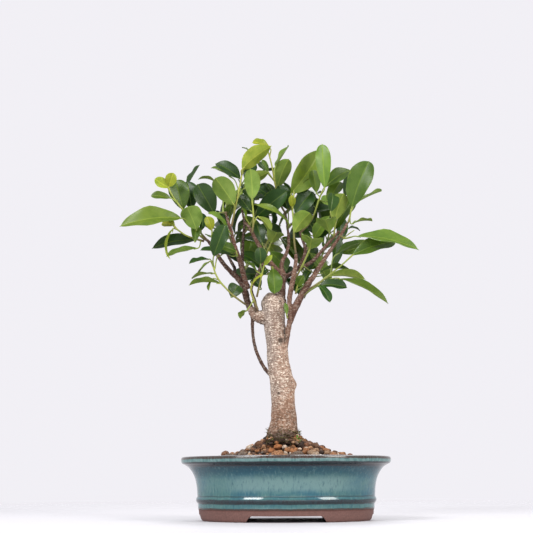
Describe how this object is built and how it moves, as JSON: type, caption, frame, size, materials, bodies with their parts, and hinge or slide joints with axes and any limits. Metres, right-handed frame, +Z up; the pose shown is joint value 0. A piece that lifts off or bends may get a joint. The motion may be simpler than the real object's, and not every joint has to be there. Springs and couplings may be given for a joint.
{
  "type": "potted bonsai tree",
  "caption": "Small leafy fig bonsai with a slender trunk, growing in a low oval glazed pot with soil and pebbles on top.",
  "frame": {"origin": "middle of the object's box in X and Y, on the plane the pot's foot stands on", "axes": "+Z up along the trunk; X along the pot's long side, +X to the right when seen from the front; -Y faces the front, where the most open side of the crown is"},
  "size_m": [0.3196, 0.1928, 0.4126],
  "materials": {
    "glaze": "glossy",
    "soil": "matte",
    "bark": "matte",
    "screen_plastic": "matte",
    "moss": "matte",
    "fired_clay_pebble": "matte",
    "leaf_mature": "satin",
    "leaf_young": "satin"
  },
  "bodies": {
    "root": {"drain_screen_left": "screen_plastic", "drain_screen_right": "screen_plastic", "moss_cushion": "moss", "pebble_01": "fired_clay_pebble", "pebble_02": "fired_clay_pebble", "pebble_03": "fired_clay_pebble", "pebble_04": "fired_clay_pebble", "pebble_05": "fired_clay_pebble", "pebble_06": "fired_clay_pebble", "pebble_07": "fired_clay_pebble", "pebble_08": "fired_clay_pebble", "pebble_09": "fired_clay_pebble", "pebble_10": "fired_clay_pebble", "pebble_11": "fired_clay_pebble", "pebble_12": "fired_clay_pebble", "pot": "glaze", "shoot_behind_trunk": "leaf_mature", "shoot_centre_arching": "leaf_mature", "shoot_centre_curled": "leaf_mature", "shoot_centre_left": "leaf_mature", "shoot_centre_low_right": "leaf_mature", "shoot_centre_right": "leaf_mature", "shoot_front_heart": "leaf_mature", "shoot_inner_1": "leaf_mature", "shoot_inner_10": "leaf_mature", "shoot_inner_11": "leaf_mature", "shoot_inner_12": "leaf_mature", "shoot_inner_2": "leaf_mature", "shoot_inner_3": "leaf_mature", "shoot_inner_4": "leaf_mature", "shoot_inner_5": "leaf_mature", "shoot_inner_6": "leaf_mature", "shoot_inner_7": "leaf_mature", "shoot_inner_8": "leaf_mature", "shoot_inner_9": "leaf_mature", "shoot_joint_bright": "leaf_young", "shoot_joint_dark": "leaf_mature", "shoot_left_bright": "leaf_young", "shoot_left_far": "leaf_young", "shoot_left_hanging": "leaf_mature", "shoot_left_inner": "leaf_mature", "shoot_left_middle": "leaf_mature", "shoot_left_middle_front": "leaf_young", "shoot_left_top": "leaf_young", "shoot_left_trailing": "leaf_mature", "shoot_left_wide": "leaf_young", "shoot_right_far": "leaf_young", "shoot_right_low": "leaf_mature", "shoot_right_low_front": "leaf_young", "shoot_right_middle": "leaf_mature", "shoot_right_tall": "leaf_mature", "shoot_right_upper": "leaf_mature", "shoot_small_fork": "leaf_mature", "shoot_top_centre": "leaf_young", "soil": "soil", "trunk_and_limbs": "bark"}
  },
  "joints": []
}
